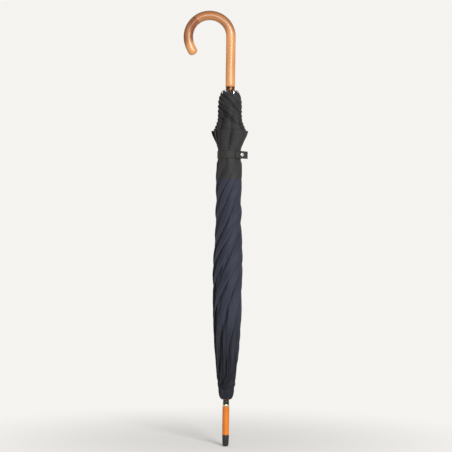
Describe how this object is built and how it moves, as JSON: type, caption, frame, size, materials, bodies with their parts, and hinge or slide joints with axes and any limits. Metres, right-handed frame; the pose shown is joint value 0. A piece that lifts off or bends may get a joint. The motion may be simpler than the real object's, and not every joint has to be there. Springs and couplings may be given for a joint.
{
  "type": "stick umbrella",
  "caption": "Furled stick umbrella with a bent wooden crook handle, wooden ferrule, two-tone canopy, snap tie strap and a working rib frame.",
  "frame": {"origin": "centre of the flat end of the ferrule tip, at the foot of the stick", "axes": "+Z along the shaft towards the crook handle, whose nose points to -X; the tie strap's free end is at +X"},
  "size_m": [0.1323, 0.0594, 0.89],
  "materials": {
    "handle_wood": "satin lacquer",
    "shaft_wood": "satin lacquer",
    "collar_metal": "polished",
    "cap_metal": "polished",
    "tip_plastic": "satin",
    "crown_plastic": "satin",
    "runner_metal": "brushed",
    "bright_steel": "drawn wire",
    "frame_steel": "black lacquer",
    "rivet_steel": "plain",
    "rib_tip_metal": "polished",
    "canopy_fabric": "plain weave pongee",
    "strap_fabric": "plain weave",
    "snap_metal": "polished"
  },
  "bodies": {
    "stick": {"shaft": "shaft_wood", "crook_handle": "handle_wood", "handle_collar": "collar_metal", "ferrule_cap": "cap_metal", "ferrule_wood": "shaft_wood", "ferrule_tip": "tip_plastic", "top_notch": "crown_plastic", "notch_wire": "bright_steel", "hand_spring_pin": "bright_steel", "top_spring_pin": "bright_steel", "canopy_top": "canopy_fabric"},
    "rib_1": {"rib_1": "frame_steel", "rib_rivet_1": "rivet_steel", "rib_tip_1": "rib_tip_metal", "gore_1": "canopy_fabric", "tie_strap": "strap_fabric", "snap_socket": "snap_metal"},
    "rib_2": {"rib_2": "frame_steel", "rib_rivet_2": "rivet_steel", "rib_tip_2": "rib_tip_metal", "gore_2": "canopy_fabric"},
    "rib_3": {"rib_3": "frame_steel", "rib_rivet_3": "rivet_steel", "rib_tip_3": "rib_tip_metal", "gore_3": "canopy_fabric"},
    "rib_4": {"rib_4": "frame_steel", "rib_rivet_4": "rivet_steel", "rib_tip_4": "rib_tip_metal", "gore_4": "canopy_fabric"},
    "rib_5": {"rib_5": "frame_steel", "rib_rivet_5": "rivet_steel", "rib_tip_5": "rib_tip_metal", "gore_5": "canopy_fabric"},
    "rib_6": {"rib_6": "frame_steel", "rib_rivet_6": "rivet_steel", "rib_tip_6": "rib_tip_metal", "gore_6": "canopy_fabric"},
    "rib_7": {"rib_7": "frame_steel", "rib_rivet_7": "rivet_steel", "rib_tip_7": "rib_tip_metal", "gore_7": "canopy_fabric"},
    "rib_8": {"rib_8": "frame_steel", "rib_rivet_8": "rivet_steel", "rib_tip_8": "rib_tip_metal", "gore_8": "canopy_fabric"},
    "stretcher_1": {"stretcher_1": "frame_steel"},
    "stretcher_2": {"stretcher_2": "frame_steel"},
    "stretcher_3": {"stretcher_3": "frame_steel"},
    "stretcher_4": {"stretcher_4": "frame_steel"},
    "stretcher_5": {"stretcher_5": "frame_steel"},
    "stretcher_6": {"stretcher_6": "frame_steel"},
    "stretcher_7": {"stretcher_7": "frame_steel"},
    "stretcher_8": {"stretcher_8": "frame_steel"},
    "runner": {"runner_crown": "crown_plastic", "runner_tube": "runner_metal", "runner_wire": "bright_steel"},
    "hand_spring": {"hand_spring": "bright_steel"},
    "top_spring": {"top_spring": "bright_steel"},
    "strap_end": {"strap_end": "strap_fabric", "snap_cap": "snap_metal"}
  },
  "joints": [
    {"name": "rib_hinge_1", "type": "hinge", "parent": "stick", "child": "rib_1", "pos_m": [0.00525, -0.00909, 0.112], "axis": [0.866, 0.5, 0], "range_deg": [0, 75], "deforming": ["tie_strap", "hand_spring", "top_spring"]},
    {"name": "rib_hinge_2", "type": "hinge", "parent": "stick", "child": "rib_2", "pos_m": [0.01014, -0.00272, 0.112], "axis": [0.2588, 0.9659, 0], "range_deg": [0, 75]},
    {"name": "rib_hinge_3", "type": "hinge", "parent": "stick", "child": "rib_3", "pos_m": [0.00909, 0.00525, 0.112], "axis": [-0.5, 0.866, 0], "range_deg": [0, 75]},
    {"name": "rib_hinge_4", "type": "hinge", "parent": "stick", "child": "rib_4", "pos_m": [0.00272, 0.01014, 0.112], "axis": [-0.9659, 0.2588, 0], "range_deg": [0, 75]},
    {"name": "rib_hinge_5", "type": "hinge", "parent": "stick", "child": "rib_5", "pos_m": [-0.00525, 0.00909, 0.112], "axis": [-0.866, -0.5, 0], "range_deg": [0, 75]},
    {"name": "rib_hinge_6", "type": "hinge", "parent": "stick", "child": "rib_6", "pos_m": [-0.01014, 0.00272, 0.112], "axis": [-0.2588, -0.9659, 0], "range_deg": [0, 75]},
    {"name": "rib_hinge_7", "type": "hinge", "parent": "stick", "child": "rib_7", "pos_m": [-0.00909, -0.00525, 0.112], "axis": [0.5, -0.866, 0], "range_deg": [0, 75]},
    {"name": "rib_hinge_8", "type": "hinge", "parent": "stick", "child": "rib_8", "pos_m": [-0.00272, -0.01014, 0.112], "axis": [0.9659, -0.2588, 0], "range_deg": [0, 75]},
    {"name": "stretcher_hinge_1", "type": "hinge", "parent": "rib_1", "child": "stretcher_1", "pos_m": [0.00643, -0.01114, 0.38199], "axis": [-0.866, -0.5, 0], "range_deg": [0, 150]},
    {"name": "stretcher_hinge_2", "type": "hinge", "parent": "rib_2", "child": "stretcher_2", "pos_m": [0.01242, -0.00333, 0.38199], "axis": [-0.2588, -0.9659, 0], "range_deg": [0, 150]},
    {"name": "stretcher_hinge_3", "type": "hinge", "parent": "rib_3", "child": "stretcher_3", "pos_m": [0.01114, 0.00643, 0.38199], "axis": [0.5, -0.866, 0], "range_deg": [0, 150]},
    {"name": "stretcher_hinge_4", "type": "hinge", "parent": "rib_4", "child": "stretcher_4", "pos_m": [0.00333, 0.01242, 0.38199], "axis": [0.9659, -0.2588, 0], "range_deg": [0, 150]},
    {"name": "stretcher_hinge_5", "type": "hinge", "parent": "rib_5", "child": "stretcher_5", "pos_m": [-0.00643, 0.01114, 0.38199], "axis": [0.866, 0.5, 0], "range_deg": [0, 150]},
    {"name": "stretcher_hinge_6", "type": "hinge", "parent": "rib_6", "child": "stretcher_6", "pos_m": [-0.01242, 0.00333, 0.38199], "axis": [0.2588, 0.9659, 0], "range_deg": [0, 150]},
    {"name": "stretcher_hinge_7", "type": "hinge", "parent": "rib_7", "child": "stretcher_7", "pos_m": [-0.01114, -0.00643, 0.38199], "axis": [-0.5, 0.866, 0], "range_deg": [0, 150]},
    {"name": "stretcher_hinge_8", "type": "hinge", "parent": "rib_8", "child": "stretcher_8", "pos_m": [-0.00333, -0.01242, 0.38199], "axis": [-0.9659, 0.2588, 0], "range_deg": [0, 150]},
    {"name": "runner_hinge", "type": "hinge", "parent": "stretcher_1", "child": "runner", "pos_m": [0.00525, -0.00909, 0.65199], "axis": [0.866, 0.5, 0], "range_deg": [0, 75]},
    {"name": "hand_spring_press", "type": "hinge", "parent": "stick", "child": "hand_spring", "pos_m": [0.00286, -0.00219, 0.646], "axis": [-0.6088, -0.7934, 0], "range_deg": [0, 5.5], "stiffness_Nm_per_rad": 0.3, "springref_deg": -2.86},
    {"name": "top_spring_press", "type": "hinge", "parent": "stick", "child": "top_spring", "pos_m": [0.00286, -0.00219, 0.334], "axis": [0.6088, 0.7934, 0], "range_deg": [0, 5.5], "stiffness_Nm_per_rad": 0.3, "springref_deg": -2.86},
    {"name": "strap_unsnap", "type": "hinge", "parent": "rib_1", "child": "strap_end", "pos_m": [0.01315, -0.02278, 0.5955], "axis": [0, 0, -1], "range_deg": [0, 100]}
  ],
  "couplings": [
    {"joint": "rib_hinge_2", "follows": "rib_hinge_1", "ratio": 1},
    {"joint": "rib_hinge_3", "follows": "rib_hinge_1", "ratio": 1},
    {"joint": "rib_hinge_4", "follows": "rib_hinge_1", "ratio": 1},
    {"joint": "rib_hinge_5", "follows": "rib_hinge_1", "ratio": 1},
    {"joint": "rib_hinge_6", "follows": "rib_hinge_1", "ratio": 1},
    {"joint": "rib_hinge_7", "follows": "rib_hinge_1", "ratio": 1},
    {"joint": "rib_hinge_8", "follows": "rib_hinge_1", "ratio": 1},
    {"joint": "stretcher_hinge_1", "follows": "rib_hinge_1", "ratio": 2},
    {"joint": "stretcher_hinge_2", "follows": "rib_hinge_1", "ratio": 2},
    {"joint": "stretcher_hinge_3", "follows": "rib_hinge_1", "ratio": 2},
    {"joint": "stretcher_hinge_4", "follows": "rib_hinge_1", "ratio": 2},
    {"joint": "stretcher_hinge_5", "follows": "rib_hinge_1", "ratio": 2},
    {"joint": "stretcher_hinge_6", "follows": "rib_hinge_1", "ratio": 2},
    {"joint": "stretcher_hinge_7", "follows": "rib_hinge_1", "ratio": 2},
    {"joint": "stretcher_hinge_8", "follows": "rib_hinge_1", "ratio": 2},
    {"joint": "runner_hinge", "follows": "rib_hinge_1", "ratio": 1}
  ]
}
